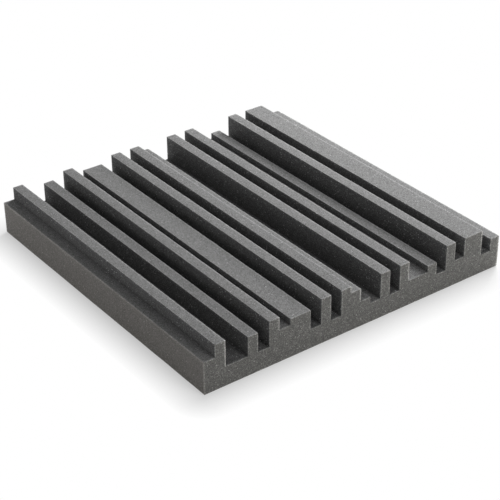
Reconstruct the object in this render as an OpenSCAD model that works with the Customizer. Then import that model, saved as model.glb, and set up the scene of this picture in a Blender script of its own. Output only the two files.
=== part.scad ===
// Acoustic foam panel: one block of open-cell foam with a flat back and stepped ribs.
// Lengths are in millimetres. The origin is the centre of the flat back, +Z leads out of the
// back through the ribs, and +Y runs along them.
//
// A straight wire that follows one stepped path through a thick block frees two identical
// panels, which lie ribs into grooves with one of them turned over. So the levels of two strips
// that lie equally far from the middle, on opposite sides, always add up to the top level.

/* [Panel] */
// Width of the panel, across the ribs
panel_w = 600; // [200:5:1250]
// Length of the panel, along the ribs
panel_l = 600; // [200:5:1250]
// Foam under the deepest grooves
base_t = 35.5; // [10:0.5:80]

/* [Profile] */
// Width of one strip of the profile: the pitch of the narrowest ribs and grooves
strip_w = 20; // [8:0.5:40]
// Height of one step of the profile
step_h = 11.5; // [4:0.5:25]
// Thickness of the wire, half of which each panel loses along the cut
wire_d = 0.8; // [0.4:0.1:3]

/* [Hidden] */
// Levels of the 15 strips on the -X side of the middle, in steps above the deepest grooves
left_levels = [2, 4, 0, 0, 3, 0, 4, 2, 3, 3, 0, 4, 0, 4, 3];
left_count = len(left_levels);
top_level = max(left_levels);

// One whole wave of the profile: the strips on the +X side complement those on the -X side, in
// reverse order
wave = [each left_levels, for (i = [left_count - 1:-1:0]) top_level - left_levels[i]];
wave_count = len(wave);

// Whole strips from the middle to each side. The outermost strip also takes up what is left.
side_count = floor(panel_w / 2 / strip_w);

// Level of strip i, which lies on the +X side of the wall at i strip widths from the middle. A
// panel wider than one wave starts the next one.
function level(i) = wave[((i + left_count) % wave_count + wave_count) % wave_count];

// A run is a rib, step or floor made of neighbouring strips of equal level. This lists the
// first strip of each run.
run_starts = [
    for (i = [-side_count:side_count - 1]) if (i == -side_count || level(i) != level(i - 1)) i
];
run_count = len(run_starts);

wire_r = wire_d / 2;

// Where the wire's middle passes between run k - 1 and run k, or the panel's side
function wall_x(k) =
    k == 0 ? -panel_w / 2 : k == run_count ? panel_w / 2 : run_starts[k] * strip_w;

// How high the wire's middle passes over run k
function run_z(k) = base_t + wire_r + step_h * level(run_starts[k]);

// Corners of the path that the wire's middle follows, two for each run
wire_path = [for (k = [0:run_count - 1]) each [[wall_x(k), run_z(k)], [wall_x(k + 1), run_z(k)]]];
path_end = len(wire_path) - 1;

// What the wire removes on one straight stretch, from corner a to corner b
module stretch_cut(a, b) {
    low = [min(a.x, b.x), min(a.y, b.y)];
    span = [abs(b.x - a.x), abs(b.y - a.y)];
    to_side = span.x > 0 ? [0, wire_r] : [wire_r, 0];
    translate(low - to_side) square(span + 2 * to_side);
}

// All that the wire removes. A round wire leaves its own radius in the corner at the foot of
// each wall, and a sharp edge at the top of it.
module wire_cut() {
    for (i = [0:path_end - 1]) stretch_cut(wire_path[i], wire_path[i + 1]);
    for (i = [1:path_end - 1]) translate(wire_path[i]) circle(wire_r, $fn = 48);
}

// Cross-section of the panel, with X across the ribs and Y out of the back
module profile() {
    difference() {
        polygon([[-panel_w / 2, 0], each wire_path, [panel_w / 2, 0]]);
        wire_cut();
    }
}

module foam_panel() {
    color("dimgray")
        rotate([90, 0, 0])
            translate([0, 0, -panel_l / 2])
                linear_extrude(panel_l) profile();
}

foam_panel();
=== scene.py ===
# %% [markdown]
# # An acoustic foam panel
#
# The panel is one square block of charcoal open-cell foam. Its back is flat, and a wire has cut
# stepped ribs and grooves into its front. Nothing on it is hard, glossy or painted, so all of its
# looks come from three things: how true the cut edges are, how rough the opened cells leave each
# face, and how light falls into the grooves. The cells below take these in turn.

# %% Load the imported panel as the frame
from functools import cache
from math import hypot, pi, radians

import bmesh
import bpy
import numpy as np
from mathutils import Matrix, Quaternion, Vector


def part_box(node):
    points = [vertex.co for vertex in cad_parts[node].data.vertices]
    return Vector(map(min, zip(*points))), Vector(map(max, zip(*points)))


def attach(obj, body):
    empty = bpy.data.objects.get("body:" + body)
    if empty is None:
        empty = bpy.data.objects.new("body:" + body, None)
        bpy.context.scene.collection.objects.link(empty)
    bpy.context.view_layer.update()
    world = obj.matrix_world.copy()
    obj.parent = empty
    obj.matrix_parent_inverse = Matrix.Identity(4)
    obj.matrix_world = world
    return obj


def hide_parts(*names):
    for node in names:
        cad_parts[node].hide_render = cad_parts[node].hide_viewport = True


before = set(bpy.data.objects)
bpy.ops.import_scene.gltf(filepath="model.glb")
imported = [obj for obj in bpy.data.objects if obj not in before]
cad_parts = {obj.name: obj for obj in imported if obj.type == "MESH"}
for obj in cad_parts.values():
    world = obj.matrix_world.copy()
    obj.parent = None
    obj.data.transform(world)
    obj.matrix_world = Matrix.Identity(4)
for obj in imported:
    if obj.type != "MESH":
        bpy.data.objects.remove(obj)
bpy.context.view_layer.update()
cad_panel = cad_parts["foam_panel"]
low_corner, high_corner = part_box("foam_panel")
panel_size = high_corner - low_corner
print("panel, in mm:", [round(side * 1000, 1) for side in panel_size])

# %% [markdown]
# ## Camera
#
# The photograph is taken from the front left, about 31 degrees above the floor, with a long lens
# from two and a half metres away, so the far ribs look nearly as large as the near ones. The
# camera is made first, because everything after it is judged through it. A place, a point to look
# at and a small roll say all that there is to say about it.

# %% Camera
camera_place = Vector((-1.2956, -1.7602, 1.3123))
camera_aim = Vector((-0.0382, -0.0616, 0.0400))
camera_roll = radians(-0.44)
camera_lens_mm = 107.1
sensor_mm = 36.0

camera_data = bpy.data.cameras.new("camera")
camera_data.sensor_width = sensor_mm
camera_data.lens = camera_lens_mm
camera = bpy.data.objects.new("camera", camera_data)
camera.location = camera_place
level_view = (camera_aim - camera_place).to_track_quat("-Z", "Y")
camera.rotation_mode = "QUATERNION"
camera.rotation_quaternion = level_view @ Quaternion((0, 0, 1), camera_roll)
bpy.context.scene.collection.objects.link(camera)
bpy.context.scene.camera = camera
print("camera to aim, in m:", round((camera_aim - camera_place).length, 3))

# %% [markdown]
# ## The foam block
#
# The solid from the frame has the right sizes, but it is made of a few long flat faces with
# knife-sharp edges. To take rounded edges, slow waves and frayed cells, the foam needs small even
# faces all over. A voxel remesh would give them, but it wears every edge down by a whole voxel. So
# the edges are rounded first, while there are only two hundred of them, and planes then slice the
# block into squares of 2.5 mm. A copy of the frame's mesh is merged and cleaned for that.

# %% A sealed copy of the solid
same_point = 1e-6
flat_angle = radians(0.5)
curve_angles = radians(5), radians(20)

block = bmesh.new()
block.from_mesh(cad_panel.data)
bmesh.ops.remove_doubles(block, verts=block.verts, dist=same_point)
bmesh.ops.dissolve_limit(block, angle_limit=flat_angle, verts=block.verts, edges=block.edges)

# The wire's own radius at the foot of each wall comes as several tiny faces. One is enough.
foot_edges = [
    edge for edge in block.edges
    if curve_angles[0] < abs(edge.calc_face_angle_signed()) < curve_angles[1]
]
bmesh.ops.dissolve_edges(block, edges=foot_edges, use_verts=True)
print("faces of the sealed copy:", len(block.faces))

# %% [markdown]
# ## Cut edges
#
# Foam can't hold a knife-sharp edge: the last row of cells bends over, which rounds the edge by
# about a millimetre. A bevel modifier rounds just the square outer edges, which are picked out
# with weights. The inner corners at the feet of the walls stay as they are, but their places are
# noted for later.

# %% Rounded cut edges
edge_round = 0.0009
square, nearly = radians(90), radians(5)


def on_profile(point):
    """The X and Z of a point, to a tenth of a millimetre, which is its place on the profile."""
    return round(point.x, 4), round(point.z, 4)


weight = block.edges.layers.float.new("bevel_weight_edge")
corner_lines = set()
for edge in block.edges:
    if abs(edge.calc_face_angle_signed() - square) < nearly:
        edge[weight] = 1.0
    elif edge.calc_face_angle_signed() < 0:
        corner_lines.add(on_profile(edge.verts[0].co))
block_mesh = bpy.data.meshes.new("block")
block.to_mesh(block_mesh)
block.free()
block_mesh.materials.clear()
foam = bpy.data.objects.new("foam", block_mesh)
bpy.context.scene.collection.objects.link(foam)


def apply_modifiers(thing):
    """Puts the shape that an object's modifiers give it into its mesh, and removes them."""
    graph = bpy.context.evaluated_depsgraph_get()
    thing.data = bpy.data.meshes.new_from_object(thing.evaluated_get(graph), depsgraph=graph)
    thing.modifiers.clear()


rounding = foam.modifiers.new("rounded edges", "BEVEL")
rounding.limit_method = "WEIGHT"
rounding.width = edge_round
rounding.segments = 3
rounding.profile = 0.5
rounding.use_clamp_overlap = False
apply_modifiers(foam)
print("faces with rounded edges:", len(foam.data.polygons))
print("lines of inner corners:", len(corner_lines))

# %% Slices into even squares
square_size = 0.0025
step_height = 0.0115
layer_height = step_height / 4
groove_floor = 0.0355
layers_below, layers_above = 12, 16

squares = bmesh.new()
squares.from_mesh(foam.data)


def slice_across(direction, places):
    """Cuts all faces with planes square to the direction, at the given distances from 0."""
    for place in places:
        bmesh.ops.bisect_plane(
            squares, geom=squares.verts[:] + squares.edges[:] + squares.faces[:], dist=same_point,
            plane_co=direction * place, plane_no=direction,
        )


# Each level of the profile lies halfway between two of the planes that are square to Z.
squares_across = round(panel_size.x / square_size)
layers = range(-layers_below, layers_above)
slice_across(Vector((1, 0, 0)), [low_corner.x + square_size * i for i in range(1, squares_across)])
slice_across(Vector((0, 0, 1)), [groove_floor + layer_height * (layer + 0.5) for layer in layers])

# All that is left are long strips from end to end, which are subdivided in one go.
long_edges = [edge for edge in squares.edges if edge.calc_length() > panel_size.y * 0.9]
bmesh.ops.subdivide_edges(squares, edges=long_edges, cuts=squares_across - 1, use_grid_fill=True)
squares.normal_update()
open_edges = sum(edge.is_boundary for edge in squares.edges)
print("faces after slicing:", len(squares.faces), "open edges:", open_edges)

# %% Heights of the strips
strip_width = 0.020
level_face = 0.99


def strip_of(point):
    """The number of the strip that a point lies over, from 0 at the -X side."""
    return int((point.x - low_corner.x) / strip_width)


strip_height = {}
for face in squares.faces:
    if face.normal.z > level_face:
        middle = face.calc_center_median()
        strip_height[strip_of(middle)] = max(strip_height.get(strip_of(middle), 0.0), middle.z)
print("strip heights, in mm:", [round(strip_height[strip] * 1000, 1) for strip in sorted(strip_height)])

# %% [markdown]
# ## Marks for the material
#
# The material has to know two things that only the shape can tell: where the cells by a cut edge are
# frayed and take a painted highlight, and where a groove's inner corner gets painted shade. Nodes that
# find edges and hollows by themselves either depend on the mesh or can't be baked, so both are stored
# on the vertices as plain numbers. The inner corners run along the ribs, so only X and Z count in the
# distance to them.
#
# In the photograph the upright edges of the near end are palest on the ribs' +X side, most of all where
# no rib stands close beside, which is where the softbox on the right reaches them. Every cut edge is
# painted paler here, partly as frayed cells and partly as a painted highlight, which is strongest on
# the +X side where no rib stands beside. So are the first few millimetres of the walls below it, of the
# tops beside their +X edge, and of both ends beside the ribs' +X side, where the paleness is painted
# light that glows through from the lit edge.

# %% Marks for painted shade in the inner corners
painted_shade_reach = 0.005


@cache
def from_corner(x, z):
    """How far a point of the profile lies from the nearest inner corner, in m."""
    return min(hypot(x - corner_x, z - corner_z) for corner_x, corner_z in corner_lines)


# Painted shade: these marks darken the colour near the inner corners of the grooves.
sheltered = squares.verts.layers.float.new("painted corner shade")
for vert in squares.verts:
    away = from_corner(*on_profile(vert.co))
    vert[sheltered] = max(0.0, 1.0 - away / painted_shade_reach)
print("vertices in sheltered corners:", sum(1 for vert in squares.verts if vert[sheltered] > 0))

# %% Marks for pale edges, partly frayed cells and partly painted highlight
paleness_reach = 0.005
tolerance = 0.001
flat_face = 0.98
# How much paler the colour is painted by the cut edges: partly fray, partly painted highlight, most
# where the softbox on the right reaches a free +X side.
edge_paleness = {"usual": 0.55, "+X side, rib beside": 0.7, "+X side, free": 1.25}
face_paleness = {"wall": 0.4, "top": 0.5, "end, rib beside": 0.4, "end, free": 1.1}


def heights_beside(strip, side):
    """The heights of the next strip and the next but one, on the -X side (-1) or the +X side (1)."""
    return [strip_height.get(strip + side * steps, 0.0) for steps in (1, 2)]


# Each outer corner of the profile: where it is, how far its wall goes down, which way the wall
# faces, and whether nothing as high stands close to it
outer_corners = []
for strip, height in strip_height.items():
    for side in (-1, 1):
        heights = heights_beside(strip, side)
        if heights[0] < height - tolerance:
            wall_x = low_corner.x + strip_width * (strip + (side > 0))
            free = max(heights) < height - tolerance
            outer_corners.append((wall_x, height, heights[0], side, free))


@cache
def pale_edge_amount(kind, x, z):
    """How much paler a flat face is painted at a point of the profile, for a wall, a top or an end:
    partly fray, partly painted highlight.
    """
    most = 0.0
    for wall_x, height, foot, side, free in outer_corners:
        inward = (wall_x - x) * side
        below = height - z
        if kind == "wall" and abs(inward) < tolerance:
            away, strength = below, face_paleness["wall"]
        elif kind == "top" and side > 0 and abs(below) < tolerance:
            away, strength = inward, face_paleness["top"]
        elif kind == "end" and side > 0 and foot < z < height + tolerance:
            away, strength = inward, face_paleness["end, free" if free else "end, rib beside"]
        else:
            continue
        if -tolerance < away < paleness_reach:
            most = max(most, strength * (1.0 - abs(away) / paleness_reach))
    return most


# These marks paint the cut edges paler: partly fray, partly painted highlight.
pale_edge_layer = squares.verts.layers.float.new("pale edge and painted highlight")
for vert in squares.verts:
    shares = [abs(share) for share in vert.normal]
    kind = ("wall", "end", "top")[shares.index(max(shares))]
    if max(shares) > flat_face and vert.co.z > tolerance:
        vert[pale_edge_layer] = pale_edge_amount(kind, *on_profile(vert.co))
for face in squares.faces:
    middle = face.calc_center_median()
    rounded = max(abs(share) for share in face.normal) < flat_face
    if rounded and from_corner(*on_profile(middle)) > tolerance / 2:
        # An upright edge on the +X side, at either end, gets a painted highlight, strongest where no
        # rib stands beside
        if face.normal.x > 0.2 and abs(face.normal.y) > 0.2:
            free = max(heights_beside(strip_of(middle), 1)) < middle.z
            amount = edge_paleness["+X side, free" if free else "+X side, rib beside"]
        else:
            amount = edge_paleness["usual"]
        for vert in face.verts:
            vert[pale_edge_layer] = max(vert[pale_edge_layer], amount)
print("vertices by frayed edges:", sum(1 for vert in squares.verts if vert[pale_edge_layer] > 0))

# %% [markdown]
# ## Which face has which finish
#
# One wire cut frees the ribs, so their tops and the grooves should look alike. But in the photograph
# the grooves are darker than the lamps alone make them, and the low steps that aren't shut in between
# high ribs lie halfway, so each of the three has its own finish, and the grooves' and the steps' darker
# colours are painted shade. The near end's grain is twice as strong as the -X side's, so these two
# differ as well. The far end, the +X side and the back can't be seen. The first two are given the near
# end's finish, which is a guess; its darker colour is painted shade on the +X side, which the softbox
# on the right lights strongly. The back has one of its own. Each face is given the number of its finish
# from the way it points and where it lies. The rounded edges point between two faces, and go with the
# one that they point at most.

# %% Sort the faces by finish and painted shade
finishes_and_shades = ["rib tops", "steps", "grooves", "sawn faces", "fine side", "back"]
mostly = 0.7


def level_finish_and_shade(strip):
    """The finish of a strip's level face, with its painted shade, from how high it is and what stands
    beside it.
    """
    height = strip_height[strip]
    lowest_beside = min(strip_height.get(strip + side, 0.0) for side in (-1, 1))
    if height > panel_size.z - 2.5 * step_height and lowest_beside < height + step_height / 2:
        return "rib tops"
    open_beside = lowest_beside < height + 1.5 * step_height
    if open_beside and max(height, lowest_beside) > groove_floor + step_height / 2:
        return "steps"
    return "grooves"


def finish_and_shade_of(face):
    """The number of the finish, with its painted shade, that a face of the block has."""
    normal = face.normal
    middle = face.calc_center_median()
    if normal.z < -mostly:
        return finishes_and_shades.index("back")
    outermost = abs(middle.x) > panel_size.x / 2 - tolerance
    if abs(normal.y) > mostly or (normal.x > mostly and outermost):
        return finishes_and_shades.index("sawn faces")
    if normal.x < -mostly and outermost:
        return finishes_and_shades.index("fine side")
    if normal.z > mostly:
        return finishes_and_shades.index(level_finish_and_shade(strip_of(middle)))
    return finishes_and_shades.index("grooves")


for face in squares.faces:
    face.material_index = finish_and_shade_of(face)
    face.smooth = True
squares.to_mesh(foam.data)
squares.free()
face_finish = np.empty(len(foam.data.polygons), dtype=np.int32)
foam.data.polygons.foreach_get("material_index", face_finish)
print("faces by finish:", dict(zip(finishes_and_shades, np.bincount(face_finish).tolist())))

# %% [markdown]
# ## Waves and frayed edges
#
# Foam gives under the wire, so no face is quite flat and no edge quite straight. Each point moves
# along its normal by a solid noise, first a slow one and then a fine one the size of a few cells.
# The noise fills space, so the two faces at an edge agree on where the edge goes.

# %% Waves and frayed edges
def push_out(thing, name, scale, strength):
    """Moves the surface along its normals by a solid noise. Its scale and whole range are in m."""
    pattern = bpy.data.textures.new(name, "CLOUDS")
    pattern.noise_scale = scale
    push = thing.modifiers.new(name, "DISPLACE")
    push.texture = pattern
    push.texture_coords = "LOCAL"
    push.direction = "NORMAL"
    push.mid_level = 0.5
    push.strength = strength


push_out(foam, "slow waves", scale=0.06, strength=0.0006)
push_out(foam, "torn cells", scale=0.004, strength=0.00015)
apply_modifiers(foam)
print("foam triangles:", sum(len(face.vertices) - 2 for face in foam.data.polygons))

# %% [markdown]
# ## Open cells
#
# Cut open-cell foam is a net of thin struts round dark pores about a millimetre wide. Seen from a metre
# away it turns to grain: each pore is a little lighter or darker than the next, and here and there a
# thin membrane still spans a pore and catches the light. The cells could be modelled one by one, but
# half a million of them would be far too many. Solid Voronoi noise has just this structure: a random
# point per cell, with edges halfway between. The group below turns it into a tone, a roughness and a
# height, and each finish sets its own amounts. The membranes' glints are painted into the tone, as
# paler cells at a random strength.

# %% Helpers for shader nodes
FLOAT, VECTOR = "NodeSocketFloat", "NodeSocketVector"


def new_group(name, inputs, outputs):
    """A shader node group with float or vector sockets, and its input and output nodes."""
    group = bpy.data.node_groups.new(name, "ShaderNodeTree")
    for label, kind, value in inputs:
        socket = group.interface.new_socket(label, in_out="INPUT", socket_type=kind)
        if value is not None:
            socket.default_value = value
    for label in outputs:
        group.interface.new_socket(label, in_out="OUTPUT", socket_type=FLOAT)
    return group, group.nodes.new("NodeGroupInput"), group.nodes.new("NodeGroupOutput")


def feed(tree, value, socket):
    """Links an output socket to an input socket, or sets the input socket to a plain value."""
    if isinstance(value, bpy.types.NodeSocket):
        tree.links.new(value, socket)
    else:
        socket.default_value = value


def maths(tree, operation, first, second=0.0):
    """A Math node of two sockets or numbers. Gives its output socket."""
    node = tree.nodes.new("ShaderNodeMath")
    node.operation = operation
    feed(tree, first, node.inputs[0])
    feed(tree, second, node.inputs[1])
    return node.outputs["Value"]


def remap(tree, value, from_range, to_range, smooth=False):
    """A clamped Map Range node. Gives its output socket."""
    node = tree.nodes.new("ShaderNodeMapRange")
    node.interpolation_type = "SMOOTHSTEP" if smooth else "LINEAR"
    feed(tree, value, node.inputs["Value"])
    for label, number in zip(("From Min", "From Max", "To Min", "To Max"), (*from_range, *to_range)):
        node.inputs[label].default_value = number
    return node.outputs["Result"]


def noise(tree, place, per_metre, detail):
    """A solid noise texture, centred on 0. Gives its output socket."""
    node = tree.nodes.new("ShaderNodeTexNoise")
    feed(tree, place, node.inputs["Vector"])
    node.inputs["Scale"].default_value = per_metre
    node.inputs["Detail"].default_value = detail
    return maths(tree, "SUBTRACT", node.outputs["Fac"], 0.5)


def voronoi(tree, place, per_metre, feature):
    """A solid Voronoi texture node."""
    node = tree.nodes.new("ShaderNodeTexVoronoi")
    node.feature = feature
    feed(tree, place, node.inputs["Vector"])
    feed(tree, per_metre, node.inputs["Scale"])
    return node


# %% The group of open cells
cells_group, cells_in, cells_out = new_group(
    "open cells",
    [("Place", VECTOR, None), ("Cells per Metre", FLOAT, 800.0), ("Grain", FLOAT, 0.5),
     ("Skew", FLOAT, 1.0), ("Pores", FLOAT, 0.4), ("Mottle", FLOAT, 0.06),
     ("Membranes", FLOAT, 0.01), ("Painted Glint", FLOAT, 1.0)],
    ["Tone", "Roughness", "Height"],
)
cell_place = cells_in.outputs["Place"]
per_metre = cells_in.outputs["Cells per Metre"]
cell = voronoi(cells_group, cell_place, per_metre, "F1")
to_edge = voronoi(cells_group, cell_place, per_metre, "DISTANCE_TO_EDGE")
dice = cells_group.nodes.new("ShaderNodeSeparateColor")
feed(cells_group, cell.outputs["Color"], dice.inputs["Color"])

# Struts run along the cells' edges, and cover a little over half of a cut face.
strut_fades = 0.02, 0.25
strut_share = 0.58
strut = remap(cells_group, to_edge.outputs["Distance"], strut_fades, (1.0, 0.0), smooth=True)

# Some cells keep their membrane, where one of their random numbers falls in the top share.
threshold = maths(cells_group, "SUBTRACT", 1.0, cells_in.outputs["Membranes"])
membrane = maths(cells_group, "GREATER_THAN", dice.outputs["Green"], threshold)

# Each pore sinks by a random depth, and a membrane lies just under its struts.
highest_pore, membrane_height = 0.6, 0.85
pore_floor = maths(
    cells_group, "MAXIMUM", maths(cells_group, "MULTIPLY", dice.outputs["Blue"], highest_pore),
    maths(cells_group, "MULTIPLY", membrane, membrane_height),
)
cell_height = maths(cells_group, "MAXIMUM", strut, pore_floor)

# Each cell gets a random lightness. A skew above 1 makes most cells dark and a few light.
skew = cells_in.outputs["Skew"]
lightness = maths(cells_group, "POWER", dice.outputs["Red"], skew)
mean_lightness = maths(cells_group, "DIVIDE", 1.0, maths(cells_group, "ADD", skew, 1.0))
tone = maths(
    cells_group, "MULTIPLY", maths(cells_group, "SUBTRACT", lightness, mean_lightness),
    cells_in.outputs["Grain"],
)

# The pores are darker than the struts, a slow noise mottles the whole face, and each membrane gets a
# painted glint: a paler colour whose random strength stands for how the membrane lies towards the
# light.
mottles_per_metre, mottle_detail = 30.0, 3.0
random_highlight_strength = remap(cells_group, dice.outputs["Blue"], (0.0, 1.0), (0.4, 1.6))
painted_glint = maths(cells_group, "MULTIPLY", membrane, random_highlight_strength)
for part, amount in (
    (maths(cells_group, "SUBTRACT", strut, strut_share), cells_in.outputs["Pores"]),
    (noise(cells_group, cell_place, mottles_per_metre, mottle_detail), cells_in.outputs["Mottle"]),
    (painted_glint, cells_in.outputs["Painted Glint"]),
):
    tone = maths(cells_group, "ADD", tone, maths(cells_group, "MULTIPLY", part, amount))

rough = remap(cells_group, cell_height, (0.0, 1.0), (1.0, 0.75))
feed(cells_group, maths(cells_group, "ADD", tone, 1.0), cells_out.inputs["Tone"])
feed(cells_group, rough, cells_out.inputs["Roughness"])
feed(cells_group, cell_height, cells_out.inputs["Height"])
print("nodes in the group of open cells:", len(cells_group.nodes))

# %% [markdown]
# ## Edges and corners
#
# In the photograph the cut edges show as fine pale lines: the struts there have lost their neighbours,
# stand free and let light through. The edges are painted paler to stand for that, partly as fray and
# partly as painted highlight. The inner corners are the other way about, and darker than the lamps
# alone make them, so they get painted shade. The group turns the two marks into one gain for the
# colour. A power above 1 narrows each mark, and a noise breaks up the edges.

# %% The group of edges and corners
edges_group, edges_in, edges_out = new_group(
    "edges and corners",
    [("Place", VECTOR, None), ("Pale Edge and Painted Highlight", FLOAT, 0.0), ("Painted Corner Shade", FLOAT, 0.0),
     ("Fray and Highlight", FLOAT, 1.0), ("Shade", FLOAT, 0.3)],
    ["Gain"],
)
narrowing = 1.5
breaks_per_metre, break_detail = 350.0, 1.0
narrow = maths(edges_group, "POWER", edges_in.outputs["Pale Edge and Painted Highlight"], narrowing)
breaks = noise(edges_group, edges_in.outputs["Place"], breaks_per_metre, break_detail)
patchy = maths(edges_group, "MULTIPLY", narrow, remap(edges_group, breaks, (-0.2, 0.2), (0.6, 1.0)))
# Paler cut edges: partly fray, partly painted highlight.
fray_and_highlight_gain = maths(edges_group, "MULTIPLY", patchy, edges_in.outputs["Fray and Highlight"])
# Painted shade: the colour is made darker near the inner corners.
corner_darkening_mark = maths(edges_group, "POWER", edges_in.outputs["Painted Corner Shade"], narrowing)
painted_corner_darkness = maths(edges_group, "MULTIPLY", corner_darkening_mark, edges_in.outputs["Shade"])
gain = maths(
    edges_group, "MULTIPLY", maths(edges_group, "ADD", 1.0, fray_and_highlight_gain),
    maths(edges_group, "SUBTRACT", 1.0, painted_corner_darkness),
)
feed(edges_group, gain, edges_out.inputs["Gain"])
print("nodes in the group of edges and corners:", len(edges_group.nodes))

# %% [markdown]
# ## Six finishes from one foam
#
# Every finish is the same dark polyurethane, so they share the groups and differ only in amounts: how
# pale the face is, how strongly its cells stand out, how many membranes are left, how brightly they
# glint, and how much the edges are worn. The grooves, the steps and the sawn faces are coloured darker
# than the rib tops as painted shade, the glints are painted highlights, and the paler edges are partly
# fray and partly painted highlight. Foam scatters light so evenly that a plain diffuse shader is right
# for it, with next to no specular light. A sheen would make the grooves glow where they should be dark.

# %% Six finishes, three of them with painted shade
# A Mix node keeps sockets for every kind of data. These are the numbers of those for colours.
colour_a, colour_b, colour_result = 6, 7, 2


def tinted(tree, colour, tone):
    """A colour times a tone that changes over the surface. Gives its output socket."""
    node = tree.nodes.new("ShaderNodeMix")
    node.data_type = "RGBA"
    node.blend_type = "MULTIPLY"
    node.inputs["Factor"].default_value = 1.0
    feed(tree, (*colour, 1), node.inputs[colour_a])
    feed(tree, tone, node.inputs[colour_b])
    return node.outputs[colour_result]


def mark(tree, name):
    """A mark that is stored on the mesh. Gives its output socket."""
    node = tree.nodes.new("ShaderNodeAttribute")
    node.attribute_name = name
    return node.outputs["Fac"]


# How much darker the colour is painted at the inner corners, as painted shade.
painted_corner_darkening = 0.33
specular_level = 0.1
relief_strength, relief_depth = 0.5, 0.0003


def foam_finish_and_shade(name, colour, *, grain, skew, pores, membranes, painted_glint, edge_wear_and_highlight):
    """A material for one finish of the foam, with painted shade in its colour and painted highlights on
    its edges and membranes.
    """
    material = bpy.data.materials.new(name)
    material.use_nodes = True
    tree = material.node_tree
    shader = tree.nodes["Principled BSDF"]
    shader.inputs["Specular IOR Level"].default_value = specular_level
    place = tree.nodes.new("ShaderNodeTexCoord").outputs["Object"]

    cells = tree.nodes.new("ShaderNodeGroup")
    cells.node_tree = cells_group
    for label, value in (("Place", place), ("Grain", grain), ("Skew", skew), ("Pores", pores),
                         ("Membranes", membranes), ("Painted Glint", painted_glint)):
        feed(tree, value, cells.inputs[label])

    edges = tree.nodes.new("ShaderNodeGroup")
    edges.node_tree = edges_group
    # The edge mark carries paler fray and painted highlight, and the corner mark carries painted shade.
    for label, value in (("Place", place), ("Pale Edge and Painted Highlight", mark(tree, "pale edge and painted highlight")),
                         ("Painted Corner Shade", mark(tree, "painted corner shade")), ("Fray and Highlight", edge_wear_and_highlight),
                         ("Shade", painted_corner_darkening)):
        feed(tree, value, edges.inputs[label])

    tone = maths(tree, "MULTIPLY", cells.outputs["Tone"], edges.outputs["Gain"])
    feed(tree, tinted(tree, colour, tone), shader.inputs["Base Color"])
    feed(tree, cells.outputs["Roughness"], shader.inputs["Roughness"])

    relief = tree.nodes.new("ShaderNodeBump")
    relief.inputs["Strength"].default_value = relief_strength
    relief.inputs["Distance"].default_value = relief_depth
    feed(tree, cells.outputs["Height"], relief.inputs["Height"])
    feed(tree, relief.outputs["Normal"], shader.inputs["Normal"])
    return material


# Painted shade: the grooves, steps and sawn faces are coloured darker than the rib tops, and on the +X
# side the sawn faces' colour darkens the side that the softbox on the right lights. The colours were
# fitted together with the lamps.
finish_and_shade_materials = {
    "rib tops": foam_finish_and_shade(
        "foam rib tops", (0.218, 0.218, 0.217),
        grain=0.68, skew=1.0, pores=0.4, membranes=0.01, painted_glint=1.0, edge_wear_and_highlight=2.0,
    ),
    "steps": foam_finish_and_shade(
        "foam steps painted shade", (0.186, 0.186, 0.185),
        grain=0.9, skew=2.0, pores=0.4, membranes=0.02, painted_glint=1.0, edge_wear_and_highlight=2.0,
    ),
    "grooves": foam_finish_and_shade(
        "foam grooves painted shade", (0.129, 0.129, 0.129),
        grain=1.0, skew=3.0, pores=0.4, membranes=0.010, painted_glint=2.9, edge_wear_and_highlight=2.0,
    ),
    "sawn faces": foam_finish_and_shade(
        "foam sawn faces painted shade", (0.179, 0.177, 0.168),
        grain=0.85, skew=3.0, pores=0.4, membranes=0.035, painted_glint=1.0, edge_wear_and_highlight=2.0,
    ),
    "fine side": foam_finish_and_shade(
        "foam fine side", (0.234, 0.224, 0.212),
        grain=0.55, skew=2.0, pores=0.3, membranes=0.015, painted_glint=1.0, edge_wear_and_highlight=2.0,
    ),
    "back": foam_finish_and_shade(
        "foam back", (0.24, 0.238, 0.233),
        grain=0.6, skew=1.0, pores=0.35, membranes=0.01, painted_glint=1.0, edge_wear_and_highlight=1.5,
    ),
}
for finish in finishes_and_shades:
    foam.data.materials.append(finish_and_shade_materials[finish])
print("materials on the foam:", [material.name for material in foam.data.materials])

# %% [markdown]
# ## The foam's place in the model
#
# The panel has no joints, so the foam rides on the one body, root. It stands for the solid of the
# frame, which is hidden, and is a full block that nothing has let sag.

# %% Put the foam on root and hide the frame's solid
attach(foam, "root")
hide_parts("foam_panel")
print("foam rides on root and replaces foam_panel")

# %% [markdown]
# ## Floor
#
# The photograph's ground is plain white, with only a pale soft shadow beside the panel. More light
# would whiten the floor, but would bleach the foam too. So only the eye is told that the floor is
# white: for a camera ray the material mixes its diffuse colour with an emission of strength 1,
# by less than half at the foot of the panel, where the shadow has to show, and wholly from 57 mm
# out. Light that bounces off the floor on to the foam still meets the plain pale colour.

# %% Floor
floor_reach = 6.0
floor_drop = 0.0005
paper_grey = 0.85
shadow_reach = 0.057
white_at_foot = 0.45


def seen_mask(tree):
    """1 for rays from the camera, or by way of a glossy or clear surface, and 0 for the rest."""
    rays = tree.nodes.new("ShaderNodeLightPath")
    seen = maths(tree, "MAXIMUM", rays.outputs["Is Camera Ray"], rays.outputs["Is Glossy Ray"])
    return maths(tree, "MAXIMUM", seen, rays.outputs["Is Transmission Ray"])


floor_mesh = bpy.data.meshes.new("floor")
floor = bpy.data.objects.new("floor", floor_mesh)
bpy.context.scene.collection.objects.link(floor)
sheet = bmesh.new()
bmesh.ops.create_grid(sheet, x_segments=1, y_segments=1, size=floor_reach)
bmesh.ops.translate(sheet, verts=sheet.verts, vec=(0, 0, -floor_drop))
sheet.to_mesh(floor_mesh)
sheet.free()

floor_material = bpy.data.materials.new("floor")
floor_material.use_nodes = True
tree = floor_material.node_tree
paper = tree.nodes["Principled BSDF"]
paper.inputs["Base Color"].default_value = (paper_grey, paper_grey, paper_grey, 1)
paper.inputs["Roughness"].default_value = 1.0
paper.inputs["Specular IOR Level"].default_value = 0.0
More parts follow.
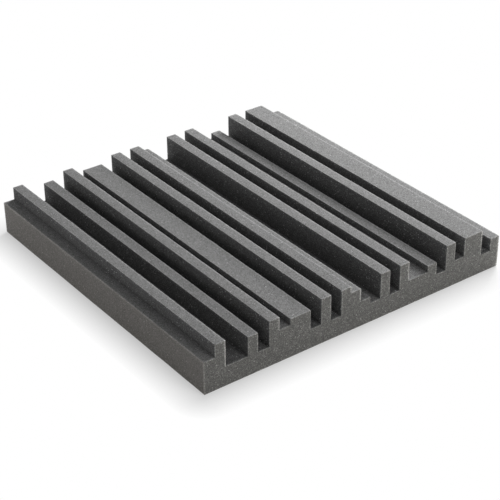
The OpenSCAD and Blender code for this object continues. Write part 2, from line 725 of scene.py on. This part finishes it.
# How far a place on the floor lies from the foot of the panel
beside = tree.nodes.new("ShaderNodeTexCoord").outputs["Object"]
for operation, amount in (
    ("ABSOLUTE", None), ("SUBTRACT", high_corner), ("MAXIMUM", (0, 0, 0)), ("LENGTH", None),
):
    step = tree.nodes.new("ShaderNodeVectorMath")
    step.operation = operation
    feed(tree, beside, step.inputs[0])
    if amount is not None:
        step.inputs[1].default_value = amount
    beside = step.outputs["Value" if operation == "LENGTH" else "Vector"]
whiteness = remap(tree, beside, (0.0, shadow_reach), (white_at_foot, 1.0))
white = tree.nodes.new("ShaderNodeEmission")
blend = tree.nodes.new("ShaderNodeMixShader")
feed(tree, maths(tree, "MULTIPLY", seen_mask(tree), whiteness), blend.inputs["Fac"])
feed(tree, paper.outputs["BSDF"], blend.inputs[1])
feed(tree, white.outputs["Emission"], blend.inputs[2])
feed(tree, blend.outputs["Shader"], tree.nodes["Material Output"].inputs["Surface"])
floor_mesh.materials.append(floor_material)
print("floor, in m:", [round(side, 2) for side in floor.dimensions])

# %% [markdown]
# ## Lamps
#
# In the photograph the rib tops get paler from left to right, the groove walls that face left are
# nearly black, and the ends are much darker than the tops. The lamps were fitted to that, together
# with the foam's colours: a large softbox low on the right, well behind the front, with a dim one
# nearer and higher for the low steps on the right, a dim one at the front, a dimmer one at the back
# left for the side, and a faint white world. Their watts are such that a level face near the middle
# renders about as its colour is written. The world is white to the camera, and the softboxes are
# hidden from it.

# %% Softboxes and world
panel_middle = Vector((0, 0, 0.04))


def softbox(name, place, size, watts):
    """A square area lamp that faces the panel. Gives the light that it adds on a level face."""
    lamp_data = bpy.data.lights.new(name, "AREA")
    lamp_data.shape = "SQUARE"
    lamp_data.size = size
    lamp_data.energy = watts
    lamp = bpy.data.objects.new(name, lamp_data)
    lamp.location = place
    to_middle = panel_middle - lamp.location
    lamp.rotation_mode = "QUATERNION"
    lamp.rotation_quaternion = to_middle.to_track_quat("-Z", "Y")
    lamp.visible_camera = False
    bpy.context.scene.collection.objects.link(lamp)
    return watts / (pi * to_middle.length) ** 2 * -to_middle.normalized().z


light_on_level = [
    softbox("softbox right", (1.50, 0.80, 0.80), 0.8, 46.1),
    softbox("softbox near right", (1.10, 0.00, 1.10), 0.7, 5.9),
    softbox("softbox front", (0.25, -1.65, 0.82), 0.7, 7.9),
    softbox("softbox back left", (-1.54, 0.89, 0.35), 0.6, 3.3),
]

world_light = 0.22
world = bpy.data.worlds.new("world")
bpy.context.scene.world = world
world.use_nodes = True
sky_tree = world.node_tree
sky = sky_tree.nodes["Background"]
sky_strength = remap(sky_tree, seen_mask(sky_tree), (0.0, 1.0), (world_light, 1.0))
feed(sky_tree, sky_strength, sky.inputs["Strength"])
sky.inputs["Color"].default_value = (1, 1, 1, 1)
bpy.context.scene.view_settings.view_transform = "Standard"
total = sum(light_on_level) + world_light
print("light on a level face, where 1 shows a colour as written:", round(total, 2))
